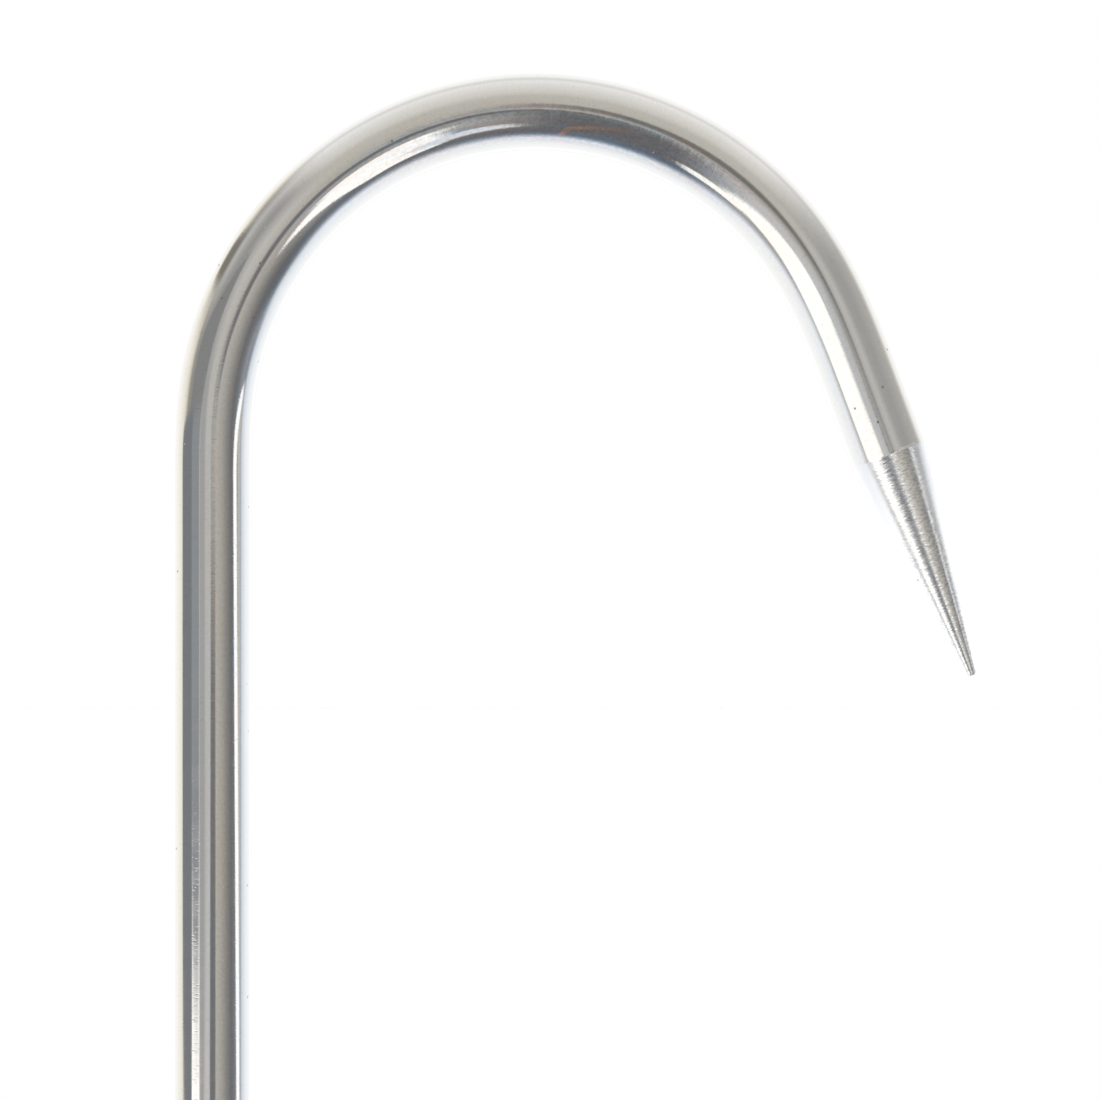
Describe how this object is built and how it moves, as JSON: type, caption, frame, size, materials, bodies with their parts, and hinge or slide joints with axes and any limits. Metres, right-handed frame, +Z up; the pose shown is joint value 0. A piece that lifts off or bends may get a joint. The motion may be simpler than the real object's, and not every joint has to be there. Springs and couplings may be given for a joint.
{
  "type": "meat hook",
  "caption": "Butcher's hand hook: a round stainless rod bent over to a ground point, drawn into a turned wooden cross grip.",
  "frame": {"origin": "inner crest of the bend, where the hook hangs on a rail and a load seats", "axes": "+Z up along the shank from the grip to the bend, +X from the shank towards the point, Y across the hook's plane"},
  "size_m": [0.1142, 0.03, 0.1257],
  "materials": {
    "polished_steel": "mirror-polished stainless steel",
    "satin_steel": "turned satin stainless steel",
    "bright_steel": "bright drawn steel",
    "beech": "oiled turned beech",
    "seal_rubber": "moulded food-grade rubber"
  },
  "bodies": {
    "root": {"hook_rod": "polished_steel", "bolster_collar": "satin_steel", "bolster_pin": "bright_steel", "seal_ring": "seal_rubber", "index_dowel": "bright_steel", "grip": "beech", "rear_washer": "bright_steel", "spring_washer": "bright_steel", "sleeve_nut": "satin_steel"}
  },
  "joints": []
}
